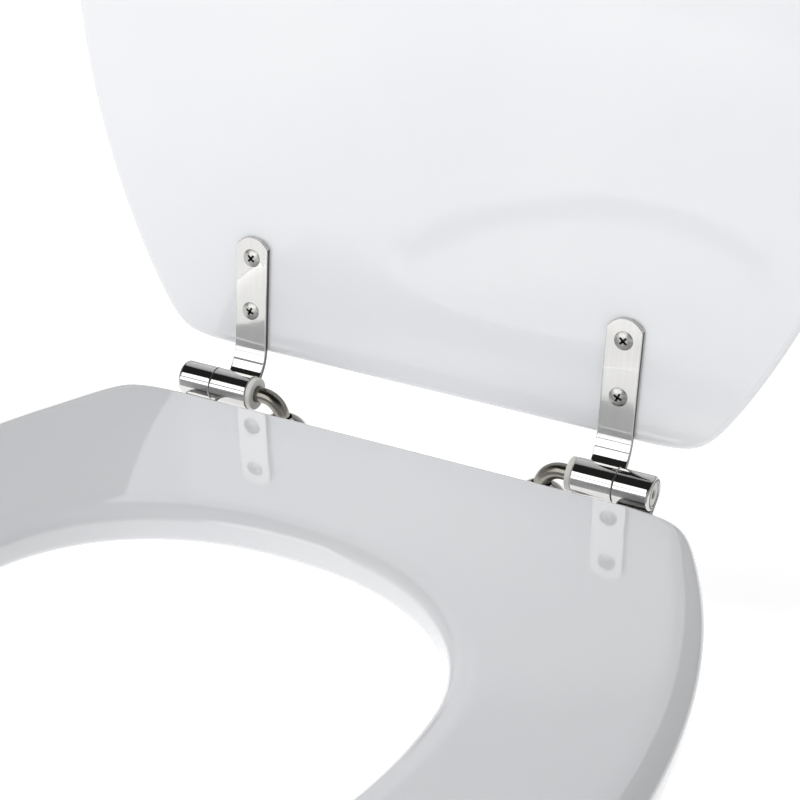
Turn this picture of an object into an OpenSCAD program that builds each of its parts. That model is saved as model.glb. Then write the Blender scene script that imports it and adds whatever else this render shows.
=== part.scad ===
// Toilet seat with a lid, on two stainless steel strap hinges
// X runs along the hinge axis, the front of the seat points towards -Y, Z is up.
// Z = 0 is the top of the pan, and the two studs stand on the line Y = 0.

/* [Hinge axis and studs] */
// height of the hinge axis above the pan
axis_h = 24; // [23:0.5:28]
// centre line of the pan to the centre line of a stud
stud_x = 70; // [66:0.5:76]
// diameter of the bent hinge rod
rod_d = 7.8; // [7.4:0.1:8]
// radius of the rod's bend, along its centre line
bend_r = 10.5; // [9:0.5:13]
// length of the stud below the pan's top
stud_l = 62; // [52:1:80]
// thickness of the pan's shelf between the washers
shelf_t = 20; // [12:1:24]

/* [Hinge knuckles and straps] */
// centre line of the pan to the inner face of the nylon flange
flange_x = 84; // [82:0.5:92]
// thickness of the nylon flange
flange_t = 3.2; // [2:0.2:4]
// length of one knuckle along the axis
knuckle_l = 20.3; // [16:0.5:26]
// outer radius of a knuckle
knuckle_r = 8.5; // [8:0.1:10]
// thickness of the strap's steel sheet
sheet_t = 2.6; // [2:0.1:2.8]
// width of a strap
strap_w = 17.6; // [14:0.2:18]
// hinge axis to the tip of a strap
strap_l = 74.5; // [70:0.5:90]
// radius of the strap's rounded tip
tip_r = 10.5; // [9.5:0.5:20]
// hinge axis to the first and the second screw
screw_a = 36; // [30:1:42]
screw_b = 64; // [56:1:66]
// diameter of a screw's head
head_d = 9; // [7:0.2:9.4]
// diameter of a screw's shank
shank_d = 4; // [3:0.2:5]
// length of the screw's shank inside the panel
shank_l = 10; // [8:0.5:11]

/* [Ring] */
// half of the ring's greatest width
ring_a = 202; // [190:1:213]
// thickness of the ring
ring_t = 17; // [15:0.5:18]
// hinge axis to the ring's rear edge
ring_rear = 19; // [18.5:0.5:24]
// rear edge to the ring's widest place
ring_wide = 195; // [170:1:210]
// widest place to the ring's front edge
ring_front = 238; // [210:1:250]
// top of the ring above the hinge axis
ring_up = 3.4; // [2:0.2:5]
// half of the opening's greatest width
open_a = 113.5; // [105:0.5:124]
// hinge axis to the rear, the widest and the front place of the opening
open_rear = 111.5; // [104:0.5:120]
open_wide = 208; // [200:1:225]
open_front = 384; // [360:1:395]

/* [Lid] */
// half of the lid's greatest width
lid_a = 204; // [190:1:215]
// thickness of the lid
lid_t = 14; // [12:0.5:16]
// hinge axis to the lid's rear edge
lid_rear = 16; // [15.5:0.5:20]
// inner face of the closed lid above the hinge axis
lid_up = 18.7; // [17:0.2:22]
// lean of the open lid behind the upright
lid_lean = 4; // [0:1:8]

/* [Rubber buffers] */
// diameter and height of a lid buffer
lid_pad_d = 16; // [12:1:22]
// free gap between a resting buffer and the face it rests on
pad_gap = 0.3; // [0.2:0.1:0.6]
// length and width of a ring buffer
ring_pad_l = 34; // [26:1:44]
ring_pad_w = 13; // [10:1:16]

/* [Hidden] */
$fn = 64;
eps = 0.01;
// running clearance between the rod and the nylon
run = 0.05;
// gap between neighbouring knuckles
side_gap = 0.3;
rod_r = rod_d / 2;
bore_r = rod_r + run;
// inner radius of a knuckle, where the nylon bush sits
eye_r = knuckle_r - sheet_t;
mid_r = knuckle_r - sheet_t / 2;
// rolled sheet leaves this seam open, as an angle on the knuckle
seam_a = 52;
lid_knuckle_x = flange_x + flange_t;
seat_knuckle_x = lid_knuckle_x + knuckle_l + side_gap;
seat_end_x = seat_knuckle_x + 18.2;
// the flat sheet is narrower than its knuckle by this step at the outer end
side_step = 0.4;
strap_x = lid_knuckle_x + knuckle_l - strap_w / 2 - side_step;
seat_strap_x = seat_end_x - strap_w / 2 - side_step;
// the rod ends short of the bush's closed end
rod_end_x = seat_end_x - 4;
end_hole_r = 2.2;
// rounding and recess at the outer end of the outer knuckle
end_round = 1.8;
end_recess = 0.6;
open_a_deg = 90 + lid_lean;
// bend of a strap between its knuckle and its flat part
bend_a = 40;
fold_r = 20;
fold_steps = 8;
// the flat sheet's root inside the rolled knuckle
root_l = 1;
root_in = 0.3;
lid_flat = lid_up - sheet_t / 2;
ring_under = ring_up - ring_t;
seat_flat = ring_under - sheet_t / 2;
// countersunk heads
sink_t = 2;
crown_t = 0.9;
cross_w = 1.1;
cross_l = 4.6;
cross_deep = 1.4;
// rosette
rosette_r = 15;
rosette_h = 15;
rosette_wall = 1.5;
gasket_t = 1;
gasket_r = 14.6;
// lock nut on the stud, under the rosette
stud_nut_r = 7.5;
stud_nut_h = 6.5;
rod_hole_r = 4.9;
// fixing under the pan
cone_rim_r = 15;
cone_rim_t = 3;
cone_top_r = 5.2;
cone_low_r = 8;
cone_h = 6;
stud_fit = 0.1;
nut_h = 9;
nut_r = 7.5;
wing_l = 18;
wing_t = 3;
wing_h = 13;
// round the ring's edges
ring_out_w = 17;
ring_out_h = 6.5;
ring_in_w = 14;
ring_in_h = 6;
// the rear edge, beside the hinges, is rounded less
ring_rear_w = 4;
ring_rear_h = 3.5;
low_r = 3.5;
lid_in_w = 3;
lid_in_h = 3;
lid_out_w = 12;
lid_out_h = 7;
// side of the lid from its rear edge to its widest place
lid_side = 199;
// outline exponents of the flanks, and how sharp the rear corners are
flank_b = 289;
flank_n = 1.85;
ring_flank_b = 286;
ring_flank_n = 1.98;
open_n = 2.25;
corner_p = 42;
lid_pad_x = 139;
lid_pad_y = 330;
// rear and front buffers of the ring
rear_pad_x = 74;
rear_pad_y = 62;
front_pad_x = 112;
front_pad_y = 376;
rear_pad_turn = 0;
front_pad_turn = -42;

// Outlines

// angles round an outline, closer together at the two rear corners
turns = [
  for (a = [0 : 5 : 40]) a,
  for (a = [44 : 1.5 : 65]) a,
  for (a = [70 : 5 : 110]) a,
  for (a = [115 : 1.5 : 136]) a,
  for (a = [140 : 5 : 355]) a
];

// distance from the centre of a panel to its outline
function reach(a, half, flank, front, rear, n, p) =
  let (
    c = abs(cos(a)),
    s = sin(a),
    m = s > 0 ? n : 2.05,
    long = s > 0 ? flank : front,
    curve = pow(pow(c / half, m) + pow(abs(s) / long, m), 1 / m)
  )
  s > 0 && rear > 0
    ? pow(pow(curve, p) + pow(s / rear, p), -1 / p)
    : 1 / curve;

function outline(half, flank, front, rear, n, p, yc) =
  [for (a = turns)
    let (r = reach(a, half, flank, front, rear, n, p))
    [r * cos(a), yc + r * sin(a)]];

// the same outline moved inwards along its own normals, by d or by a list of distances
function inset(pts, d) =
  [for (i = [0 : len(pts) - 1])
    let (
      a = pts[(i + len(pts) - 1) % len(pts)],
      b = pts[(i + 1) % len(pts)],
      t = (b - a) / norm(b - a)
    )
    pts[i] + (is_num(d) ? d : d[i]) * [-t[1], t[0]]];

// 1 along a panel's rear edge, 0 along its flanks and front, with a smooth change round the corners
function rear_share(a) =
  let (
    away = abs(a - 90),
    t = min(1, max(0, (48 - away) / 18))
  )
  t * t * (3 - 2 * t);

// a share s of the way from a to b
function mix(a, b, s) = a + (b - a) * s;

// level k of a stack of outlines, at height z
function at_height(pts, z) = [for (q = pts) [q[0], q[1], z]];

// skin between neighbouring outlines; rows is the number of outlines
function skin(rows, n, closed) =
  [for (k = [0 : closed ? rows - 1 : rows - 2], i = [0 : n - 1])
    let (
      j = (i + 1) % n,
      l = (k + 1) % rows,
      a = k * n + i,
      b = k * n + j,
      c = l * n + j,
      d = l * n + i
    )
    each [[a, c, b], [a, d, c]]];

// a list in the other order
function turned(list) = [for (i = [len(list) - 1 : -1 : 0]) list[i]];

// quarter of an ellipse from the upright wall to the flat face, as [inwards, up]
function quarter(w, h, steps) =
  [for (i = [0 : steps])
    let (a = 90 * i / steps)
    [w * (1 - cos(a)), h * sin(a)]];

// Shared shapes

// right-hand shape as it is, or its mirror image on the left
module on_side(side) {
  if (side > 0) children();
  else mirror([1, 0, 0]) children();
}

// puts a shape drawn in the closed lid's frame in place, turned up by a degrees about the axis
module raised(a) {
  translate([0, 0, axis_h]) rotate([-a, 0, 0]) children();
}

// round bar along X
module bar(r, x0, x1) {
  translate([x0, 0, 0]) rotate([0, 90, 0]) cylinder(r = r, h = x1 - x0);
}

// points on an arc round c, from angle a0 to a1
function arc_points(c, r, a0, a1) =
  [for (i = [0 : fold_steps])
    let (a = a0 + (a1 - a0) * i / fold_steps)
    c + r * [cos(a), sin(a)]];

// 2D: the sheet between its knuckle and its tip, seen from the side.
// It leaves the back of the knuckle on a slope and bends once into its flat part.
// flat is the distance from the axis to the middle of the flat part.
module sheet_path(flat) {
  half = sheet_t / 2;
  slope = [cos(bend_a), sin(bend_a)];
  out = [-sin(bend_a), cos(bend_a)];
  knee = (flat * cos(bend_a) - mid_r) / sin(bend_a);
  centre = [knee + fold_r * tan(bend_a / 2), flat - fold_r];
  polygon(concat(
    [(eye_r + root_in) * out - root_l * slope, eye_r * out],
    arc_points(centre, fold_r - half, 90 + bend_a, 90),
    [[strap_l, flat - half], [strap_l, flat + half]],
    turned(arc_points(centre, fold_r + half, 90 + bend_a, 90)),
    [knuckle_r * out, (knuckle_r - root_in) * out - root_l * slope]
  ));
}

// turns a side view (forwards, up) into a solid between x0 and x1
module across(x0, x1) {
  translate([x1, 0, 0]) rotate([90, 0, -90]) linear_extrude(height = x1 - x0) children();
}

// countersunk hole or screw body, pointing up from a strap's outer face
module sink_cone(grow) {
  cylinder(r1 = head_d / 2 + grow, r2 = shank_d / 2 + grow, h = sink_t);
  cylinder(r = shank_d / 2 + grow, h = sheet_t + shank_l);
}

// hinge strap in the closed lid's frame: knuckle round the axis, flat part forwards and up.
// The screws' heads sit in its lower face, or in its upper face if heads_up is true.
module strap(x0, x1, sx, flat, round_end, heads_up) {
  difference() {
    union() {
      difference() {
        bar_rounded(knuckle_r, x0, x1, round_end);
        bar(eye_r, x0 - 1, x1 + 1);
        across(x0 - 1, x1 + 1) polygon([
          [0, 0],
          2 * knuckle_r * [-sin(bend_a), cos(bend_a)],
          2 * knuckle_r * [sin(seam_a - bend_a), cos(seam_a - bend_a)]
        ]);
      }
      intersection() {
        across(sx - strap_w / 2, sx + strap_w / 2) sheet_path(flat);
        union() {
          translate([sx - strap_w / 2, tip_r - strap_l, 0])
            cube([strap_w, strap_l - tip_r + knuckle_r, flat * 2]);
          translate([sx, tip_r - strap_l, 0]) cylinder(r = tip_r, h = flat * 2);
        }
      }
    }
    for (s = [screw_a, screw_b])
      translate([sx, -s, flat]) mirror([0, 0, heads_up ? 1 : 0])
        translate([0, 0, -sheet_t / 2]) sink_cone(0);
  }
}

// bar along X whose far end is rounded over by f
module bar_rounded(r, x0, x1, f) {
  if (f > 0) {
    translate([x0, 0, 0]) rotate([0, 90, 0]) rotate_extrude() intersection() {
      union() {
        square([r, x1 - x0 - f]);
        square([r - f, x1 - x0]);
        translate([r - f, x1 - x0 - f]) circle(r = f);
      }
      square([2 * r, 2 * (x1 - x0)]);
    }
  } else {
    bar(r, x0, x1);
  }
}

// cross-head screw, its head against the face at z = 0 and its shank upwards
module screw() {
  crown_r = (pow(head_d / 2, 2) + pow(crown_t, 2)) / (2 * crown_t);
  difference() {
    union() {
      sink_cone(0);
      intersection() {
        translate([0, 0, crown_r - crown_t]) sphere(r = crown_r);
        translate([0, 0, -crown_t]) cylinder(r = head_d / 2, h = crown_t);
      }
    }
    for (a = [0, 90])
      rotate([0, 0, a + 20]) translate([-cross_l / 2, -cross_w / 2, -crown_t - 1])
        cube([cross_l, cross_w, cross_deep + 1]);
  }
}

// Pieces that stay with the pan

module hinge_rod() {
  color("silver") {
    translate([0, 0, axis_h]) bar(rod_r, stud_x + bend_r, rod_end_x);
    translate([stud_x + bend_r, 0, axis_h - bend_r]) rotate([90, 0, 0])
      rotate([0, 0, 90]) rotate_extrude(angle = 90) translate([bend_r, 0]) circle(r = rod_r);
    translate([stud_x, 0, -stud_l]) cylinder(r = rod_r, h = stud_l + axis_h - bend_r);
    translate([stud_x, 0, -stud_l - 1]) cylinder(r1 = rod_r - 1, r2 = rod_r, h = 1);
  }
}

module rosette() {
  color("silver") translate([stud_x, 0, gasket_t]) difference() {
    intersection() {
      sphere(r = rosette_r);
      cylinder(r = rosette_r + 1, h = rosette_h);
    }
    sphere(r = rosette_r - rosette_wall);
    cylinder(r = rod_hole_r, h = rosette_h + 1);
  }
}

module rosette_gasket() {
  color("dimgray") translate([stud_x, 0, 0]) difference() {
    cylinder(r = gasket_r, h = gasket_t);
    translate([0, 0, -1]) cylinder(r = rod_r + stud_fit, h = gasket_t + 2);
  }
}

module stud_nut() {
  color("silver") translate([stud_x, 0, gasket_t]) difference() {
    cylinder(r = stud_nut_r, h = stud_nut_h, $fn = 6);
    translate([0, 0, -1]) cylinder(r = rod_r, h = stud_nut_h + 2);
  }
}

module cone_washer() {
  color("gainsboro") translate([stud_x, 0, -shelf_t]) difference() {
    union() {
      translate([0, 0, -cone_rim_t]) cylinder(r = cone_rim_r, h = cone_rim_t);
      cylinder(r1 = cone_low_r, r2 = cone_top_r, h = cone_h);
    }
    translate([0, 0, -cone_rim_t - 1]) cylinder(r = rod_r + stud_fit, h = cone_rim_t + cone_h + 2);
  }
}

module wing_nut() {
  color("gainsboro") translate([stud_x, 0, -shelf_t - cone_rim_t - nut_h]) difference() {
    union() {
      cylinder(r1 = nut_r - 1, r2 = nut_r, h = nut_h);
      for (a = [0, 180])
        rotate([0, 0, a]) translate([0, wing_t / 2, 0]) rotate([90, 0, 0])
          linear_extrude(height = wing_t) {
            translate([0, 0]) square([wing_l - wing_h / 2, wing_h - 2]);
            translate([wing_l - wing_h / 2, -2 + wing_h / 2]) circle(r = wing_h / 2);
          }
    }
    translate([0, 0, -1]) cylinder(r = rod_r, h = nut_h + 2);
    // the wings leave the stud free
    translate([0, 0, nut_h]) cylinder(r = nut_r + 20, h = wing_h);
    translate([0, 0, -wing_h]) cylinder(r = rod_r + 0.4, h = 3 * wing_h);
  }
}

// Pieces that turn with the lid

module lid_panel() {
  pts = outline(lid_a, flank_b, ring_front, lid_side, flank_n, corner_p, -lid_rear - lid_side);
  levels = concat(
    [for (q = turned(quarter(lid_in_w, lid_in_h, 4))) [q[0], lid_in_h - q[1]]],
    [for (q = quarter(lid_out_w, lid_out_h, 6)) [q[0], lid_t - lid_out_h + q[1]]]
  );
  n = len(pts);
  rows = len(levels);
  points = [for (l = levels) each at_height(inset(pts, l[0]), lid_up + l[1])];
  caps = [
    [for (i = [0 : n - 1]) i],
    [for (i = [n - 1 : -1 : 0]) (rows - 1) * n + i]
  ];
  color("white") raised(open_a_deg) difference() {
    polyhedron(points = points, faces = concat(skin(rows, n, false), caps), convexity = 4);
    for (x = [-strap_x, strap_x], s = [screw_a, screw_b])
      translate([x, -s, lid_up - sheet_t]) sink_cone(0);
  }
}

module lid_strap() {
  color("silver") raised(open_a_deg)
    strap(lid_knuckle_x, lid_knuckle_x + knuckle_l, strap_x, lid_flat, 0, false);
}

module lid_bush() {
  color("whitesmoke") raised(open_a_deg) difference() {
    union() {
      bar_rounded(knuckle_r - 0.3, -flange_x - flange_t, -flange_x, 0.8);
      bar(eye_r, -lid_knuckle_x - knuckle_l, -lid_knuckle_x + eps);
    }
    bar(bore_r, -lid_knuckle_x - knuckle_l - 1, -flange_x + 1);
  }
}

module lid_screws() {
  color("silver") raised(open_a_deg) for (s = [screw_a, screw_b])
    translate([strap_x, -s, lid_up - sheet_t]) screw();
}

module lid_buffers() {
  h = lid_up - ring_up - pad_gap;
  color("gainsboro") raised(open_a_deg) for (x = [-lid_pad_x, lid_pad_x])
    translate([x, -lid_pad_y, lid_up - h]) cylinder(r1 = lid_pad_d / 2 - 1, r2 = lid_pad_d / 2, h = h);
}

// Pieces that turn with the ring

module seat_ring() {
  pts = outline(ring_a, ring_flank_b, ring_front, ring_wide, ring_flank_n, corner_p, -ring_rear - ring_wide);
  hole = outline(open_a, open_wide - open_rear, open_front - open_wide, 0, open_n, 2, -open_wide);
  rear = [for (a = turns) rear_share(a)];
  top = ring_up;
  low = ring_under;
  outer_low = [for (q = turned(quarter(low_r, low_r, 3))) [q[0], low + low_r - q[1]]];
  outer_top = quarter(1, 1, 7);
  inner = concat(
    [for (q = turned(quarter(ring_in_w, ring_in_h, 7))) [q[0], top - ring_in_h + q[1]]],
    [for (q = quarter(low_r, low_r, 3)) [q[0], low + low_r - q[1]]]
  );
  n = len(pts);
  rows = len(outer_low) + len(outer_top) + len(inner);
  points = concat(
    [for (l = outer_low) each at_height(inset(pts, l[0]), l[1])],
    [for (q = outer_top)
      let (line = inset(pts, [for (s = rear) q[0] * mix(ring_out_w, ring_rear_w, s)]))
      for (i = [0 : n - 1])
        [line[i][0], line[i][1], top - (1 - q[1]) * mix(ring_out_h, ring_rear_h, rear[i])]],
    [for (l = inner) each at_height(inset(hole, -l[0]), l[1])]
  );
  color("white") translate([0, 0, axis_h]) difference() {
    polyhedron(points = points, faces = skin(rows, n, true), convexity = 8);
    for (x = [-seat_strap_x, seat_strap_x], s = [screw_a, screw_b])
      translate([x, -s, ring_under - sheet_t]) sink_cone(0);
  }
}

module seat_strap() {
  color("silver") translate([0, 0, axis_h]) mirror([0, 0, 1])
    strap(seat_knuckle_x, seat_end_x, seat_strap_x, -seat_flat, end_round, true);
}

module end_bush() {
  color("whitesmoke") translate([0, 0, axis_h]) difference() {
    bar(eye_r, seat_knuckle_x, seat_end_x - end_recess);
    bar(bore_r, seat_knuckle_x - 1, rod_end_x + 0.2);
    bar(end_hole_r, seat_knuckle_x, seat_end_x + 1);
  }
}

module seat_screws() {
  color("silver") translate([0, 0, axis_h]) for (s = [screw_a, screw_b])
    translate([seat_strap_x, -s, ring_under - sheet_t]) screw();
}

module ring_buffers() {
  h = axis_h + ring_under;
  color("gainsboro") {
    for (x = [-1, 1]) {
      translate([x * rear_pad_x, -rear_pad_y, 0]) rotate([0, 0, -x * rear_pad_turn]) oblong_pad(h);
      translate([x * front_pad_x, -front_pad_y, 0]) rotate([0, 0, -x * front_pad_turn]) oblong_pad(h);
    }
  }
}

module oblong_pad(h) {
  half = (ring_pad_l - ring_pad_w) / 2;
  linear_extrude(height = h) {
    square([2 * half, ring_pad_w], center = true);
    for (x = [-half, half]) translate([x, 0]) circle(r = ring_pad_w / 2);
  }
}

// Left and right pieces

module left_hinge_rod() { on_side(-1) hinge_rod(); }
module right_hinge_rod() { on_side(1) hinge_rod(); }
module left_rosette() { on_side(-1) rosette(); }
module right_rosette() { on_side(1) rosette(); }
module left_rosette_gasket() { on_side(-1) rosette_gasket(); }
module right_rosette_gasket() { on_side(1) rosette_gasket(); }
module left_stud_nut() { on_side(-1) stud_nut(); }
module right_stud_nut() { on_side(1) stud_nut(); }
module left_cone_washer() { on_side(-1) cone_washer(); }
module right_cone_washer() { on_side(1) cone_washer(); }
module left_wing_nut() { on_side(-1) wing_nut(); }
module right_wing_nut() { on_side(1) wing_nut(); }
module left_lid_strap() { on_side(-1) lid_strap(); }
module right_lid_strap() { on_side(1) lid_strap(); }
module left_lid_bush() { on_side(1) lid_bush(); }
module right_lid_bush() { on_side(-1) lid_bush(); }
module left_lid_screws() { on_side(-1) lid_screws(); }
module right_lid_screws() { on_side(1) lid_screws(); }
module left_seat_strap() { on_side(-1) seat_strap(); }
module right_seat_strap() { on_side(1) seat_strap(); }
module left_end_bush() { on_side(-1) end_bush(); }
module right_end_bush() { on_side(1) end_bush(); }
module left_seat_screws() { on_side(-1) seat_screws(); }
module right_seat_screws() { on_side(1) seat_screws(); }

left_hinge_rod();
right_hinge_rod();
left_rosette();
right_rosette();
left_rosette_gasket();
right_rosette_gasket();
left_stud_nut();
right_stud_nut();
left_cone_washer();
right_cone_washer();
left_wing_nut();
right_wing_nut();
lid_panel();
left_lid_strap();
right_lid_strap();
left_lid_bush();
right_lid_bush();
left_lid_screws();
right_lid_screws();
lid_buffers();
seat_ring();
left_seat_strap();
right_seat_strap();
left_end_bush();
right_end_bush();
left_seat_screws();
right_seat_screws();
ring_buffers();
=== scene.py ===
"""A toilet seat with its lid up: lacquered fibreboard on two stainless steel strap hinges."""
import math

import bmesh
import bpy
import numpy as np
from mathutils import Matrix, Vector


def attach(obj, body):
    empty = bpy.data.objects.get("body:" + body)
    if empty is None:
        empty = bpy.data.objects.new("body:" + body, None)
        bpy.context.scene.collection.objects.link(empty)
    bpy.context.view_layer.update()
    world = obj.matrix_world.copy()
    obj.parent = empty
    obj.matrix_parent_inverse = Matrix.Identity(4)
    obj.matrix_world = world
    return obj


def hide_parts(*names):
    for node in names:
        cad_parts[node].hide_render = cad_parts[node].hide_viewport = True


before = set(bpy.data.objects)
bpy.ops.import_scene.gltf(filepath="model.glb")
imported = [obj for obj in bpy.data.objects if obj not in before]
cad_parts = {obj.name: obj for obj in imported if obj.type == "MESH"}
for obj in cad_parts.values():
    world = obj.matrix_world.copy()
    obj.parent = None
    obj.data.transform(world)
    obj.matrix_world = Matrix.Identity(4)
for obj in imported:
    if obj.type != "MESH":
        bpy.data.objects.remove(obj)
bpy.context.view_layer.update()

MM = 0.001

# Sizes of the seat in millimetres, as the solids have them, with the hinge axis along X.
AXIS_H = 24.0
LEAN = 94.0
STUD_X, STUD_L = 70.0, 62.0
ROD_R, BEND_R = 3.9, 10.5
FLANGE_X, FLANGE_T = 84.0, 3.2
KNUCKLE_R, KNUCKLE_L, SHEET = 8.5, 20.3, 2.6
EYE_R, MID_R, BORE_R = KNUCKLE_R - SHEET, KNUCKLE_R - SHEET / 2, 3.95
LID_KNUCKLE = (FLANGE_X + FLANGE_T, FLANGE_X + FLANGE_T + KNUCKLE_L)
SEAT_KNUCKLE = (LID_KNUCKLE[1] + 0.3, LID_KNUCKLE[1] + 18.5)
STRAP_W, STRAP_L = 17.6, 74.5
TIP_R, TIP_RISE, SHEET_SOFT = 10.5, 4.77, 0.4
LID_STRAP_X = LID_KNUCKLE[1] - STRAP_W / 2 - 0.4
SEAT_STRAP_X = SEAT_KNUCKLE[1] - STRAP_W / 2 - 0.4
SCREWS_AT = (36.0, 64.0)
LID_UP, LID_T = 18.7, 14.0
RING_UP, RING_T = 3.4, 17.0
RING_UNDER = RING_UP - RING_T
RING_CENTRE, LID_CENTRE = -214.0, -215.0
OUTLINE_POINTS = 420


# Colour and material helpers

def hex_colour(text):
    """sRGB hex to a linear colour."""
    parts = [int(text[i:i + 2], 16) / 255 for i in (1, 3, 5)]
    return [p / 12.92 if p <= 0.04045 else ((p + 0.055) / 1.055) ** 2.4 for p in parts] + [1.0]


def add_node(tree, kind, settings=None, links=None):
    """One shader node with its settings, and its inputs linked from other nodes' outputs."""
    made = tree.nodes.new(kind)
    for key, value in (settings or {}).items():
        if key in made.inputs:
            made.inputs[key].default_value = value
        else:
            setattr(made, key, value)
    for key, source in (links or {}).items():
        tree.links.new(source, made.inputs[key])
    return made


def new_material(name, roughness, metallic=0.0, **shader):
    """An empty material with one Principled shader, and its tree."""
    material = bpy.data.materials.new(name)
    material.use_nodes = True
    tree = material.node_tree
    tree.nodes.clear()
    body = add_node(tree, "ShaderNodeBsdfPrincipled",
                    {"Roughness": roughness, "Metallic": metallic, **shader})
    out = add_node(tree, "ShaderNodeOutputMaterial")
    tree.links.new(body.outputs["BSDF"], out.inputs["Surface"])
    return material, tree, body


def object_mm(tree):
    """Object coordinates in millimetres."""
    place = add_node(tree, "ShaderNodeTexCoord")
    return add_node(tree, "ShaderNodeVectorMath", {"operation": "SCALE", "Scale": 1000.0},
                    {0: place.outputs["Object"]}).outputs["Vector"]


def white_lacquer(name):
    """Sprayed and buffed white lacquer: an even gloss with the faint ripple that spraying leaves."""
    material, tree, body = new_material(name, 0.09, IOR=1.5)
    body.inputs["Coat Weight"].default_value = 1.0
    body.inputs["Coat Roughness"].default_value = 0.02
    body.inputs["Coat IOR"].default_value = 1.5
    mm = object_mm(tree)
    # A slow drift of tone, about 120 mm across, from the filler under the lacquer.
    drift = add_node(tree, "ShaderNodeTexNoise", {"Scale": 1 / 120.0, "Detail": 2.0}, {"Vector": mm})
    tone = add_node(tree, "ShaderNodeValToRGB", None, {"Fac": drift.outputs["Fac"]})
    tone.color_ramp.elements[0].position = 0.3
    tone.color_ramp.elements[0].color = hex_colour("#DBDCDF")
    tone.color_ramp.elements[1].position = 0.7
    tone.color_ramp.elements[1].color = hex_colour("#DFE0E2")
    tree.links.new(tone.outputs["Color"], body.inputs["Base Color"])
    # Orange peel: ripples about 7 mm across, so low that only reflections show them.
    peel = add_node(tree, "ShaderNodeTexNoise", {"Scale": 1 / 7.0, "Detail": 1.0}, {"Vector": mm})
    ripple = add_node(tree, "ShaderNodeBump", {"Strength": 0.02, "Distance": 0.001},
                      {"Height": peel.outputs["Fac"]})
    tree.links.new(ripple.outputs["Normal"], body.inputs["Coat Normal"])
    tree.links.new(ripple.outputs["Normal"], body.inputs["Normal"])
    return material


def polished_steel(name, low, high, tint_low, tint_high, grain_mm, bump):
    """Steel whose fine marks, grain_mm long in X, Y and Z, spread the highlights and vary the tone."""
    material, tree, body = new_material(name, low, 1.0)
    mm = object_mm(tree)
    per_mm = (1 / grain_mm[0], 1 / grain_mm[1], 1 / grain_mm[2])
    marks = add_node(tree, "ShaderNodeMapping", {"Scale": per_mm}, {"Vector": mm})
    grain = add_node(tree, "ShaderNodeTexNoise", {"Scale": 1.0, "Detail": 4.0},
                     {"Vector": marks.outputs["Vector"]})
    gloss = add_node(tree, "ShaderNodeMapRange", {"To Min": low, "To Max": high},
                     {"Value": grain.outputs["Fac"]})
    tree.links.new(gloss.outputs["Result"], body.inputs["Roughness"])
    tint = add_node(tree, "ShaderNodeValToRGB", None, {"Fac": grain.outputs["Fac"]})
    tint.color_ramp.elements[0].position = 0.3
    tint.color_ramp.elements[0].color = hex_colour(tint_low)
    tint.color_ramp.elements[1].position = 0.7
    tint.color_ramp.elements[1].color = hex_colour(tint_high)
    tree.links.new(tint.outputs["Color"], body.inputs["Base Color"])
    scratch = add_node(tree, "ShaderNodeBump", {"Strength": bump, "Distance": 0.0002},
                       {"Height": grain.outputs["Fac"]})
    tree.links.new(scratch.outputs["Normal"], body.inputs["Normal"])
    return material


def moulded(name, dark, light, roughness, speck_mm, bump, **shader):
    """A moulded plastic or rubber: an even colour with the fine texture of its mould."""
    material, tree, body = new_material(name, roughness, **shader)
    mm = object_mm(tree)
    speck = add_node(tree, "ShaderNodeTexNoise", {"Scale": 1 / speck_mm, "Detail": 3.0}, {"Vector": mm})
    tone = add_node(tree, "ShaderNodeValToRGB", None, {"Fac": speck.outputs["Fac"]})
    tone.color_ramp.elements[0].position = 0.3
    tone.color_ramp.elements[0].color = hex_colour(dark)
    tone.color_ramp.elements[1].position = 0.7
    tone.color_ramp.elements[1].color = hex_colour(light)
    tree.links.new(tone.outputs["Color"], body.inputs["Base Color"])
    gloss = add_node(tree, "ShaderNodeMapRange", {"To Min": roughness - 0.06, "To Max": roughness + 0.06},
                     {"Value": speck.outputs["Fac"]})
    tree.links.new(gloss.outputs["Result"], body.inputs["Roughness"])
    grain = add_node(tree, "ShaderNodeBump", {"Strength": bump, "Distance": 0.0003},
                     {"Height": speck.outputs["Fac"]})
    tree.links.new(grain.outputs["Normal"], body.inputs["Normal"])
    return material


LACQUER = white_lacquer("white lacquer on moulded fibreboard")
# The straps are buffed to a mirror: they show the studio in sharp bands.
STRAP_STEEL = polished_steel("mirror polished stainless steel", 0.025, 0.06, "#D2D1CF", "#D8D7D5",
                             (1.2, 30.0, 30.0), 0.01)
# The round covers are pressed and then polished: bright, with soft-edged reflections.
COVER_STEEL = polished_steel("polished pressed stainless steel", 0.08, 0.16, "#BDBBB7", "#C9C7C3",
                             (2.5, 2.5, 2.5), 0.02)
# A cut edge that the buffing wheel missed: dull, and darker than the faces; the dark colour is painted shade
# on the sheet's sides.
SHADED_EDGE_STEEL = polished_steel("blanked steel edge painted dark as shade", 0.22, 0.34, "#565656", "#626261",
                            (3.0, 0.3, 0.3), 0.1)
# Bar as it comes from the die: a satin sheen with fine lines, a little brown.
# Its colour is kept darker than bare steel's: painted dark reflections of the surroundings that the bar
# mirrors.
DARKENED_ROD_STEEL = polished_steel("satin drawn stainless steel darkened as painted reflection", 0.17, 0.27, "#8D8A82", "#9B9890",
                           (12.0, 0.6, 0.6), 0.05)
# Screw heads as they were struck: a blurred shine without direction.
SCREW_STEEL = polished_steel("cold headed stainless steel", 0.16, 0.28, "#A9A9A6", "#B8B8B5",
                             (0.8, 0.8, 0.8), 0.08)
# The punched cross in a screw's head: rough walls, painted dark to stand in for the shade deep in the recess.
SHADED_RECESS_STEEL = polished_steel("screw recess painted dark as shade", 0.45, 0.6, "#3C3B39", "#4A4947",
                              (0.5, 0.5, 0.5), 0.1)
# Zinc on a turned nut: a cool grey with a dull shine.
NUT_STEEL = polished_steel("zinc plated steel", 0.25, 0.4, "#B5B7BA", "#C4C6C8",
                           (1.5, 1.5, 1.5), 0.1)
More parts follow.
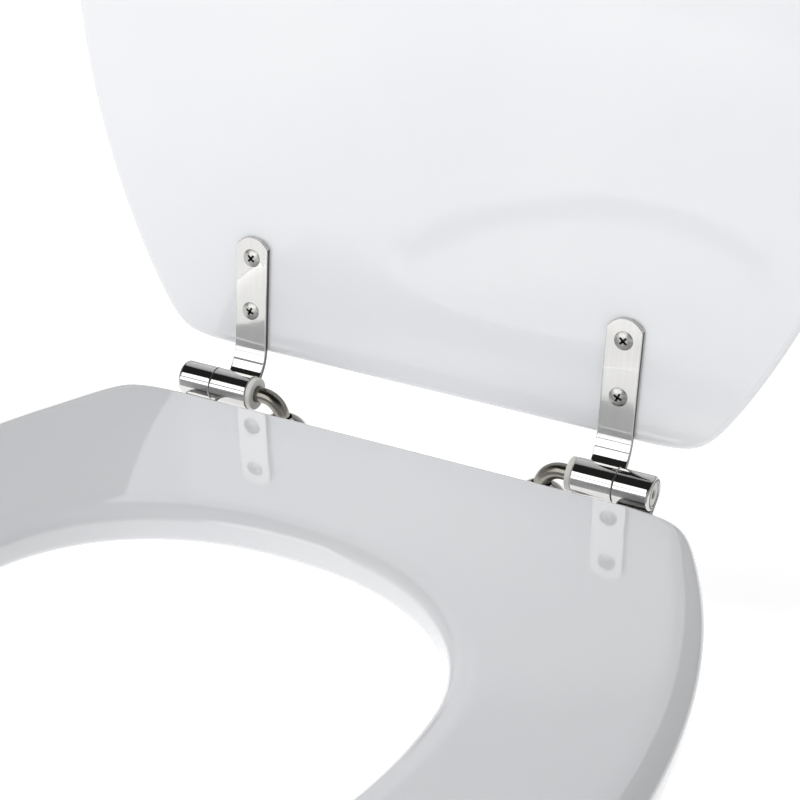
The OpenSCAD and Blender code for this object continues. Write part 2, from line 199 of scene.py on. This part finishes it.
# Undyed nylon, slightly cream, with a low sheen.
NYLON = moulded("natural nylon", "#DAD9D4", "#E2E1DD", 0.42, 0.9, 0.08, IOR=1.53)
# Nylon with white pigment, a little rougher from its mould.
FIXING_NYLON = moulded("white moulded nylon", "#E4E4E2", "#ECECEA", 0.48, 0.7, 0.12, IOR=1.53)
# Dark soft rubber without shine.
GREY_RUBBER = moulded("grey rubber", "#38383A", "#444446", 0.75, 0.5, 0.3, IOR=1.52)
# Pale soft rubber with a matt skin.
PALE_RUBBER = moulded("pale thermoplastic rubber", "#CFCFCC", "#D9D9D6", 0.6, 0.6, 0.2, IOR=1.5)


# Mesh helpers: all points are in millimetres in the seat's frame


def make_piece(name, points, faces, material, body, node=None, smooth_deg=40.0):
    """A mesh piece that rides on a body and stands for its CAD node."""
    mesh = bpy.data.meshes.new(name)
    mesh.from_pydata([Vector(p) * MM for p in points], [], faces)
    mesh.materials.append(material)
    piece = bpy.data.objects.new(name, mesh)
    bpy.context.scene.collection.objects.link(piece)
    return finish_piece(piece, body, node, smooth_deg)


def finish_piece(piece, body, node, smooth_deg):
    """Outward faces, smooth shading up to an angle, and the piece's place in the frame."""
    shape = bmesh.new()
    shape.from_mesh(piece.data)
    bmesh.ops.remove_doubles(shape, verts=shape.verts, dist=1e-7)
    bmesh.ops.recalc_face_normals(shape, faces=shape.faces)
    limit = math.radians(smooth_deg)
    for face in shape.faces:
        face.smooth = True
    for edge in shape.edges:
        edge.smooth = len(edge.link_faces) == 2 and edge.calc_face_angle(0.0) < limit
    shape.to_mesh(piece.data)
    shape.free()
    if body:
        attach(piece, body)
    if node:
        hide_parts(node)
    return piece


def add_shape(shape, points, faces):
    """Adds points and their faces to a mesh that is being built."""
    placed = [shape.verts.new(Vector(p) * MM) for p in points]
    for face in faces:
        shape.faces.new([placed[i] for i in face])


def keep_solid(node, material):
    """A solid that stays as the frame has it, with a better finish."""
    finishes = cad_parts[node].data.materials
    finishes.clear()
    finishes.append(material)


def skin_rings(rings, loop=False, cap_first=True, cap_last=True):
    """Points and faces between closed rings of the same length; the rings themselves may form a loop."""
    n = len(rings[0])
    points = [p for ring in rings for p in ring]
    faces = []
    count = len(rings)
    for k in range(count if loop else count - 1):
        a, b = k * n, ((k + 1) % count) * n
        for i in range(n):
            j = (i + 1) % n
            faces.append((a + i, a + j, b + j, b + i))
    if not loop:
        if cap_first:
            faces.append(tuple(range(n - 1, -1, -1)))
        if cap_last:
            faces.append(tuple((count - 1) * n + i for i in range(n)))
    return points, faces


def lathe(profile, along, centre, steps=96):
    """Rings of a turned shape. profile is (radius, position) pairs; along is 'X' or 'Z'."""
    rings = []
    for radius, place in profile:
        ring = []
        for i in range(steps):
            a = 2 * math.pi * i / steps
            u, v = radius * math.cos(a), radius * math.sin(a)
            ring.append((centre[0] + place, centre[1] + u, centre[2] + v) if along == "X"
                        else (centre[0] + u, centre[1] + v, centre[2] + place))
        rings.append(ring)
    return rings


def soften(profile, radius, steps=4):
    """A closed turned profile with its corners rounded to a radius, or less on a short side."""
    out = []
    n = len(profile)
    for i in range(n):
        p, q, r = (Vector(profile[j % n]) for j in (i - 1, i, i + 1))
        cut = min(radius, (p - q).length * 0.45, (r - q).length * 0.45)
        a, b = q + (p - q).normalized() * cut, q + (r - q).normalized() * cut
        for k in range(steps + 1):
            t = k / steps
            out.append(tuple(a * (1 - t) ** 2 + q * 2 * t * (1 - t) + b * t ** 2))
    return out


def turned_piece(name, profile, along, centre, material, body, node, radius=0.3, steps=96):
    """A turned or moulded round piece from its closed profile, with softened edges."""
    rings = lathe(soften(profile, radius), along, centre, steps)
    points, faces = skin_rings(rings, loop=True)
    return make_piece(name, points, faces, material, body, node)


# Panel outlines

def reach(turn, half, flank, front, rear, flank_n, corner):
    """Distance from a panel's centre to its outline at an angle, in degrees from +X."""
    c, s = abs(math.cos(math.radians(turn))), math.sin(math.radians(turn))
    power = flank_n if s > 0 else 2.05
    long = flank if s > 0 else front
    curve = ((c / half) ** power + (abs(s) / long) ** power) ** (1 / power)
    if s > 0 and rear > 0:
        return (curve ** corner + (s / rear) ** corner) ** (-1 / corner)
    return 1 / curve


def outline(half, flank, front, rear, flank_n, corner, centre_y, count):
    """Evenly spaced points round a panel, anticlockwise, as an array."""
    turns = np.linspace(0, 360, 4000, endpoint=False)
    radii = np.array([reach(t, half, flank, front, rear, flank_n, corner) for t in turns])
    line = np.stack([radii * np.cos(np.radians(turns)), centre_y + radii * np.sin(np.radians(turns))], 1)
    step = np.linalg.norm(np.roll(line, -1, 0) - line, axis=1)
    along = np.concatenate([[0], np.cumsum(step)])
    wanted = np.linspace(0, along[-1], count, endpoint=False)
    closed = np.vstack([line, line[:1]])
    return np.stack([np.interp(wanted, along, closed[:, k]) for k in (0, 1)], 1)


def inset(line, distance):
    """The outline moved inwards along its own normals."""
    tangent = np.roll(line, -1, 0) - np.roll(line, 1, 0)
    tangent /= np.linalg.norm(tangent, axis=1)[:, None]
    return line + distance * np.stack([-tangent[:, 1], tangent[:, 0]], 1)


def quarter(width, height, steps):
    """Quarter of an ellipse from an upright wall to a flat face, as (inwards, up)."""
    return [(width * (1 - math.cos(a)), height * math.sin(a))
            for a in (math.pi / 2 * i / steps for i in range(steps + 1))]


def raised(points, turn):
    """Points turned up about the hinge axis; they start from the closed pose, with the axis at Z = 0."""
    a = math.radians(turn)
    return [(x, y * math.cos(a) + z * math.sin(a), -y * math.sin(a) + z * math.cos(a) + AXIS_H)
            for x, y, z in points]


def rear_share(line, centre_y):
    """1 along a panel's rear edge, 0 along its flanks and front, with a smooth change round the corners."""
    rear_ends, flank_starts = 30.0, 48.0
    away = np.abs(np.degrees(np.arctan2(line[:, 1] - centre_y, line[:, 0])) - 90)
    t = np.clip((flank_starts - away) / (flank_starts - rear_ends), 0, 1)
    return t * t * (3 - 2 * t)


def build_ring():
    """The ring: a flat top that rolls down broadly outside and inside, and less beside the hinges."""
    outer = outline(202.0, 286.0, 238.0, 195.0, 1.98, 42.0, RING_CENTRE, OUTLINE_POINTS)
    # The opening sits 2 mm left of the middle.
    hole = outline(112.8, 98.5, 174.0, 0.0, 2.17, 2.0, -210.0, OUTLINE_POINTS) - np.array([2.0, 0.0])
    rear = rear_share(outer, RING_CENTRE)
    wide = 17.0 + (4.0 - 17.0) * rear
    high = 6.5 + (3.5 - 6.5) * rear
    hole_wide, hole_high, under = 14.0, 6.0, 3.5
    level = np.zeros(OUTLINE_POINTS)
    rings = []
    for d, z in quarter(under, under, 5)[::-1]:
        rings.append((inset(outer, d), RING_UNDER + under - z + level))
    for d, z in quarter(1.0, 1.0, 14):
        rings.append((inset(outer, (d * wide)[:, None]), RING_UP - (1 - z) * high))
    for d, z in quarter(hole_wide, hole_high, 16)[::-1]:
        rings.append((inset(hole, -d), RING_UP - hole_high + z + level))
    for d, z in quarter(under, under, 5):
        rings.append((inset(hole, -d), RING_UNDER + under - z + level))
    solid = [[(p[0], p[1], h) for p, h in zip(line, heights)] for line, heights in rings]
    points, faces = skin_rings(solid, loop=True)
    return make_piece("ring_board", raised(points, 0.0), faces, LACQUER, "ring", "seat_ring")


def build_lid():
    """The lid: a flat board with rounded edges, wider rounding on the face that shows when it is closed."""
    # The rear edge stands 1.6 mm nearer the hinge axis than the solid's.
    edge = outline(204.0, 289.0, 238.0, 200.6, 1.85, 42.0, LID_CENTRE, OUTLINE_POINTS)
    inner_r, outer_wide, outer_high = 3.0, 12.0, 7.0
    rings = []
    for d, z in quarter(inner_r, inner_r, 8)[::-1]:
        rings.append((inset(edge, d), LID_UP + inner_r - z))
    for d, z in quarter(outer_wide, outer_high, 10):
        rings.append((inset(edge, d), LID_UP + LID_T - outer_high + z))
    solid = [[(p[0], p[1], z) for p in line] for line, z in rings]
    points, faces = skin_rings(solid)
    return make_piece("lid_board", raised(points, LEAN), faces, LACQUER, "lid", "lid_panel")


# Hinges

def sheet_line(flat):
    """The middle of a strap's sheet from tip to seam: its place, its normal and the share rolled."""
    bend, fold, roll = math.radians(40.0), 20.0, 308.0
    knee = (flat * math.cos(bend) - MID_R) / math.sin(bend)
    centre = (knee + fold * math.tan(bend / 2), flat - fold)
    tip = [STRAP_L - 0.03 - TIP_RISE * (1 - math.cos(math.pi / 2 * i / 12)) for i in range(13)]
    line = [(s, flat, 0.0, 1.0, 0.0) for s in tip + list(np.linspace(STRAP_L - 10, centre[0], 8))]
    for i in range(1, 17):
        a = math.pi / 2 + bend * i / 16
        line.append((centre[0] + fold * math.cos(a), centre[1] + fold * math.sin(a),
                     math.cos(a), math.sin(a), 0.0))
    for i in range(81):
        turned = roll * i / 80
        a = math.pi / 2 + bend + math.radians(turned)
        rolled = min(1.0, turned / 12.0)
        line.append((MID_R * math.cos(a), MID_R * math.sin(a), math.cos(a), math.sin(a), rolled))
    return line


def sheet_section(left, right, end_round):
    """A strap's cross-section, with rounded corners and a point close to each on the flat face."""
    t = SHEET / 2
    close_by = 0.35
    section = []
    for x, u, r, start in ((right, t, end_round, 0), (left, t, SHEET_SOFT, 90),
                           (left, -t, SHEET_SOFT, 180), (right, -t, SHEET_SOFT, 270)):
        cx = x - r if x == right else x + r
        cu = u - r if u > 0 else u + r
        corner = [(cx + r * math.cos(a), cu + r * math.sin(a))
                  for a in np.radians(start + np.linspace(0, 90, 6))]
        on_flat = [(cx - close_by if x == right else cx + close_by, u)]
        section += corner + on_flat if start in (0, 180) else on_flat + corner
    return section


def build_strap(name, node, side, body, flat, x_mid, knuckle, end_round, turn, below, heads_up):
    """A hinge strap: one polished sheet with a round tip, bent once and rolled into its knuckle."""
    rings = []
    for s, h, ns, nh, rolled in sheet_line(flat):
        left, right = x_mid - STRAP_W / 2, x_mid + STRAP_W / 2
        left += (knuckle[0] - left) * rolled
        right += (knuckle[1] - right) * rolled
        from_tip = STRAP_L - s
        if from_tip < TIP_RISE:
            half = math.sqrt(TIP_R ** 2 - (TIP_R - from_tip) ** 2)
            left, right = x_mid - half, x_mid + half
        ring = []
        for x, u in sheet_section(left, right, SHEET_SOFT + (end_round - SHEET_SOFT) * rolled):
            forwards, up = s + ns * u, h + nh * u
            ring.append((side * x, -forwards, -up if below else up))
        rings.append(ring)
    points, faces = skin_rings(rings)
    piece = make_piece(name, raised(points, turn), faces, STRAP_STEEL, None, None, 30.0)
    # The sheet's side faces get the edge finish, with its painted shade.
    piece.data.materials.append(SHADED_EDGE_STEEL)
    for face in piece.data.polygons:
        if abs(face.normal.x) > 0.9:
            face.material_index = 1
    head_face = (flat + SHEET / 2 if heads_up else flat - SHEET / 2) * (-1 if below else 1)
    inwards = -1 if heads_up != below else 1
    # The countersink for a screw's cone, then the hole for its shank.
    sink = [(4.75, -0.2 * inwards), (4.62, 0.0), (2.2, 2.3 * inwards), (2.2, 4.0 * inwards)]
    cutters = bmesh.new()
    for s in SCREWS_AT:
        points, faces = skin_rings(lathe(sink, "Z", (side * x_mid, -s, head_face), 48))
        add_shape(cutters, raised(points, turn), faces)
    bmesh.ops.recalc_face_normals(cutters, faces=cutters.faces)
    cut_away(piece, cutters)
    return finish_piece(piece, body, node, 30.0)


def cut_away(piece, cutters):
    """Cuts closed shapes out of a piece, exactly."""
    mesh = bpy.data.meshes.new("cutters")
    cutters.to_mesh(mesh)
    cutters.free()
    tool = bpy.data.objects.new("cutters", mesh)
    bpy.context.scene.collection.objects.link(tool)
    cut = piece.modifiers.new("cut", "BOOLEAN")
    cut.operation = "DIFFERENCE"
    cut.solver = "EXACT"
    cut.object = tool
    cut.use_self = True
    bpy.context.view_layer.update()
    shown = piece.evaluated_get(bpy.context.evaluated_depsgraph_get())
    done = bpy.data.meshes.new_from_object(shown)
    piece.modifiers.clear()
    piece.data = done
    bpy.data.objects.remove(tool)


def build_rod(name, node, side):
    """A hinge rod: one drawn bar, bent down into a stud with a rolled thread."""
    # The bar ends inside the end bush, out of sight.
    outer_end = SEAT_KNUCKLE[1] - 10.0
    thread_top, pitch, per_turn, thread_deep, run_in = 8.0, 1.25, 8, 0.75, 2.0
    bend_bottom = AXIS_H - BEND_R
    line = []
    for x in np.linspace(outer_end, STUD_X + BEND_R, 14):
        line.append((Vector((x, 0, AXIS_H)), Vector((-1, 0, 0))))
    for i in range(1, 25):
        a = math.pi / 2 * i / 24
        line.append((Vector((STUD_X + BEND_R - BEND_R * math.sin(a), 0, bend_bottom + BEND_R * math.cos(a))),
                     Vector((-math.cos(a), 0, -math.sin(a)))))
    down = Vector((0, 0, -1))
    for z in np.linspace(bend_bottom - 1, thread_top + 1, 6):
        line.append((Vector((STUD_X, 0, z)), down))
    z = thread_top
    while z > -STUD_L + 1:
        line.append((Vector((STUD_X, 0, z)), down))
        z -= pitch / per_turn
    line.append((Vector((STUD_X, 0, -STUD_L + 0.9)), down))
    line.append((Vector((STUD_X, 0, -STUD_L - 1)), down))
    rings = []
    steps = 32
    across = Vector((0, 1, 0))
    for k, (place, heading) in enumerate(line):
        up = heading.cross(across)
        ring = []
        for i in range(steps):
            a = 2 * math.pi * i / steps
            r = ROD_R
            if heading.z < -0.99 and place.z <= thread_top:
                phase = (place.z / pitch + i / steps) % 1.0
                r -= thread_deep * (1 - abs(2 * phase - 1)) * min(1.0, (thread_top - place.z) / run_in)
            if k == len(line) - 1:
                r = ROD_R - 1.1
            if k == 0:
                r = ROD_R - 0.6
            ring.append(place + across * (r * math.cos(a)) + up * (r * math.sin(a)))
        rings.append([(side * p.x, p.y, p.z) for p in ring])
    points, faces = skin_rings(rings)
    return make_piece(name, points, faces, DARKENED_ROD_STEEL, "fixings", node, 60.0)


def build_screws(name, node, body, x, side, turn, face_z):
    """Cross-head countersunk screws with a low crown; the shanks sit in the board."""
    shape, cutters = bmesh.new(), bmesh.new()
    r, crown = 4.5, 0.9
    ball = (r * r + crown * crown) / (2 * crown)
    # (radius, depth) from the shank's point up to the head's rim, and then over the crown.
    profile = [(0.05, 12.6), (1.2, 12.4), (2.0, 11.0), (2.0, 2.0), (r - 0.08, 0.08), (r, 0.0)]
    slopes = [math.asin(r / ball) * (1 - i / 10) for i in range(1, 10)]
    profile += [(ball * math.sin(b), ball - crown - ball * math.cos(b)) for b in slopes]
    profile.append((0.05, -crown))
    # Half length and half thickness of a cross arm above the crown and at its foot.
    arm_sizes = ((-crown - 0.5, 2.75, 0.62), (1.1, 1.0, 0.34))
    arm_faces = ((0, 1, 2, 3), (4, 5, 6, 7), (0, 1, 5, 4), (1, 2, 6, 5), (2, 3, 7, 6), (3, 0, 4, 7))
    for s, turned in zip(SCREWS_AT, (24.0, 41.0)):
        points, faces = skin_rings(lathe(profile, "Z", (side * x, -s, face_z), 56))
        add_shape(shape, raised(points, turn), faces)
        for spin in (math.radians(turned), math.radians(turned + 90.0)):
            arm = []
            for z, long, thick in arm_sizes:
                for px, py in ((-long, -thick), (long, -thick), (long, thick), (-long, thick)):
                    arm.append((side * x + px * math.cos(spin) - py * math.sin(spin),
                                -s + px * math.sin(spin) + py * math.cos(spin), face_z + z))
            add_shape(cutters, raised(arm, turn), arm_faces)
    bmesh.ops.recalc_face_normals(shape, faces=shape.faces)
    bmesh.ops.recalc_face_normals(cutters, faces=cutters.faces)
    mesh = bpy.data.meshes.new(name)
    shape.to_mesh(mesh)
    shape.free()
    mesh.materials.append(SCREW_STEEL)
    piece = bpy.data.objects.new(name, mesh)
    bpy.context.scene.collection.objects.link(piece)
    uncut = {tuple(round(c, 7) for c in v.co) for v in mesh.vertices}
    cut_away(piece, cutters)
    piece.data.materials.append(SHADED_RECESS_STEEL)
    # A small face whose points are all new is a wall of the cross, and takes the recess's painted shade.
    largest_wall = 8e-6
    for face in piece.data.polygons:
        corners = [piece.data.vertices[i].co for i in face.vertices]
        if face.area < largest_wall and all(tuple(round(c, 7) for c in co) not in uncut for co in corners):
            face.material_index = 1
    return finish_piece(piece, body, node, 35.0)


def build_hinge(side):
    """All pieces of one hinge; side is 1 on the right and -1 on the left."""
    hand = "right" if side > 0 else "left"
    axis = (0, 0, AXIS_H)
    build_rod(hand + "_bent_rod", hand + "_hinge_rod", side)
    build_strap(hand + "_lid_strap_sheet", hand + "_lid_strap", side, "lid",
                LID_UP - SHEET / 2, LID_STRAP_X, LID_KNUCKLE, SHEET_SOFT, LEAN, False, False)
    build_strap(hand + "_seat_strap_sheet", hand + "_seat_strap", side, "ring",
                SHEET / 2 - RING_UNDER, SEAT_STRAP_X, SEAT_KNUCKLE, 1.8, 0.0, True, True)
    flange_r = KNUCKLE_R - 0.3
    flange_in, knuckle_in, lid_end = side * FLANGE_X, side * LID_KNUCKLE[0], side * (LID_KNUCKLE[1] - 0.1)
    flanged = [(BORE_R, flange_in), (flange_r, flange_in), (flange_r, knuckle_in),
               (EYE_R, knuckle_in), (EYE_R, lid_end), (BORE_R, lid_end)]
    turned_piece(hand + "_nylon_bush", flanged, "X", axis, NYLON, "lid", hand + "_lid_bush", 0.9)
    hole_r = 2.2
    inner, outer, web = side * SEAT_KNUCKLE[0], side * (SEAT_KNUCKLE[1] - 0.6), side * (SEAT_KNUCKLE[1] - 3.8)
    closed = [(BORE_R, inner), (EYE_R, inner), (EYE_R, outer), (hole_r, outer), (hole_r, web), (BORE_R, web)]
    turned_piece(hand + "_nylon_end_bush", closed, "X", axis, NYLON, "ring", hand + "_end_bush", 0.5)
    stud = (side * STUD_X, 0, 0)
    dome = [(15.0 * math.cos(a), 1.0 + 15.0 * math.sin(a)) for a in np.radians(np.linspace(0, 70.9, 20))]
    hollow = [(13.5 * math.cos(a), 1.0 + 13.5 * math.sin(a)) for a in np.radians(np.linspace(68.7, 0, 16))]
    points, faces = skin_rings(lathe(dome + hollow, "Z", stud), loop=True)
    make_piece(hand + "_round_cover", points, faces, COVER_STEEL, "fixings", hand + "_rosette", 50.0)
    pad = [(4.0, 0.0), (14.6, 0.0), (14.6, 1.0), (4.0, 1.0)]
    turned_piece(hand + "_cover_gasket", pad, "Z", stud, GREY_RUBBER,
                 "fixings", hand + "_rosette_gasket", 0.25)
    cone = [(4.0, -23.0), (15.0, -23.0), (15.0, -20.0), (8.0, -20.0), (5.2, -14.0), (4.0, -14.0)]
    turned_piece(hand + "_cone_washer_moulding", cone, "Z", stud, FIXING_NYLON,
                 "fixings", hand + "_cone_washer", 0.5)
    keep_solid(hand + "_stud_nut", NUT_STEEL)
    keep_solid(hand + "_wing_nut", FIXING_NYLON)
    build_screws(hand + "_lid_cross_screws", hand + "_lid_screws", "lid",
                 LID_STRAP_X, side, LEAN, LID_UP - SHEET)
    build_screws(hand + "_seat_cross_screws", hand + "_seat_screws", "ring",
                 SEAT_STRAP_X, side, 0.0, RING_UNDER - SHEET)


build_ring()
build_lid()
build_hinge(1)
build_hinge(-1)
keep_solid("lid_buffers", PALE_RUBBER)
keep_solid("ring_buffers", PALE_RUBBER)


# Studio: a white floor, two softboxes in front that the steel mirrors, and a dark ceiling over them
# that gives the steel its black bands. The overhead light and the lid's fill have no mirror image.

def build_studio():
    """The floor, the sky and the lights."""
    floor_h, far = -0.0655, 20.0
    floor_mesh = bpy.data.meshes.new("studio_floor")
    floor_points = [(-far, -far, floor_h), (far, -far, floor_h), (far, far, floor_h), (-far, far, floor_h)]
    floor_mesh.from_pydata(floor_points, [], [(0, 1, 2, 3)])
    material, tree, body = new_material("matt white studio floor", 0.9)
    body.inputs["Base Color"].default_value = hex_colour("#BEBEBE")
    # The floor glows a little, so that it stays white to its far edge.
    body.inputs["Emission Color"].default_value = (1, 1, 1, 1)
    body.inputs["Emission Strength"].default_value = 0.80
    floor_mesh.materials.append(material)
    floor = bpy.data.objects.new("studio_floor", floor_mesh)
    bpy.context.scene.collection.objects.link(floor)
    world = bpy.data.worlds.new("studio")
    bpy.context.scene.world = world
    world.use_nodes = True
    tree = world.node_tree
    tree.nodes.clear()
    # Grey at the horizon and nearly black above.
    way = add_node(tree, "ShaderNodeTexCoord")
    height = add_node(tree, "ShaderNodeSeparateXYZ", None, {"Vector": way.outputs["Generated"]})
    ramp = add_node(tree, "ShaderNodeValToRGB", None, {"Fac": height.outputs["Z"]})
    ramp.color_ramp.elements[0].position = 0.30
    ramp.color_ramp.elements[0].color = (0.42, 0.42, 0.42, 1)
    ramp.color_ramp.elements[1].position = 0.68
    ramp.color_ramp.elements[1].color = (0.02, 0.02, 0.02, 1)
    sky = add_node(tree, "ShaderNodeBackground", {"Strength": 1.0}, {"Color": ramp.outputs["Color"]})
    out = add_node(tree, "ShaderNodeOutputWorld")
    tree.links.new(sky.outputs["Background"], out.inputs["Surface"])
    # Place, aim, width and height in metres, brightness, and whether polished faces show it.
    for label, place, aim, size, radiance, mirrored in (
            ("low_softbox", (-0.85, -1.9, 0.385), (-0.85, 0.0, 0.385), (1.7, 0.72), 1.8, True),
            ("front_softbox", (-0.85, -2.0, 1.49), (0, -0.1, 0.05), (1.5, 0.96), 1.9, True),
            ("overhead_light", (-0.4, -0.3, 2.3), (-0.2, -0.25, 0.0), (1.6, 0.8), 7.4, False),
            ("lid_fill", (0.0, -1.4, 0.06), (0.0, 0.02, 0.15), (1.2, 0.2), 7.2, False)):
        lamp = bpy.data.lights.new(label, "AREA")
        lamp.shape = "RECTANGLE"
        lamp.size, lamp.size_y = size
        lamp.energy = radiance * math.pi * size[0] * size[1]
        holder = bpy.data.objects.new(label, lamp)
        holder.location = place
        holder.rotation_euler = (Vector(aim) - Vector(place)).to_track_quat("-Z", "Y").to_euler()
        holder.visible_glossy = mirrored
        holder.visible_camera = False
        if label == "lid_fill":
            only_lid = bpy.data.collections.new("lit_by_lid_fill")
            only_lid.objects.link(bpy.data.objects["lid_board"])
            holder.light_linking.receiver_collection = only_lid
        bpy.context.scene.collection.objects.link(holder)


def build_camera():
    """The photograph's view, worked out from both hinges."""
    yaw, pitch, roll = (math.radians(v) for v in (26.51, -27.25, 0.96))
    place = Vector((380.54, -772.6, 484.92)) * MM
    # The focal length in pixels of the 800-pixel frame.
    focal_px, frame_px = 2029.91, 800
    ahead = Vector((-math.sin(yaw) * math.cos(pitch), math.cos(yaw) * math.cos(pitch), math.sin(pitch)))
    side = ahead.cross(Vector((0, 0, 1))).normalized()
    up = side.cross(ahead)
    right = side * math.cos(roll) + up * math.sin(roll)
    top = up * math.cos(roll) - side * math.sin(roll)
    lens = bpy.data.cameras.new("photo_view")
    lens.sensor_width = 36.0
    lens.lens = focal_px / frame_px * lens.sensor_width
    lens.clip_start = 0.05
    camera = bpy.data.objects.new("photo_view", lens)
    turn = Matrix((right, top, -ahead)).transposed().to_4x4()
    camera.matrix_world = Matrix.Translation(place) @ turn
    bpy.context.scene.collection.objects.link(camera)
    bpy.context.scene.camera = camera


build_studio()
build_camera()
bpy.context.scene.view_settings.view_transform = "Standard"
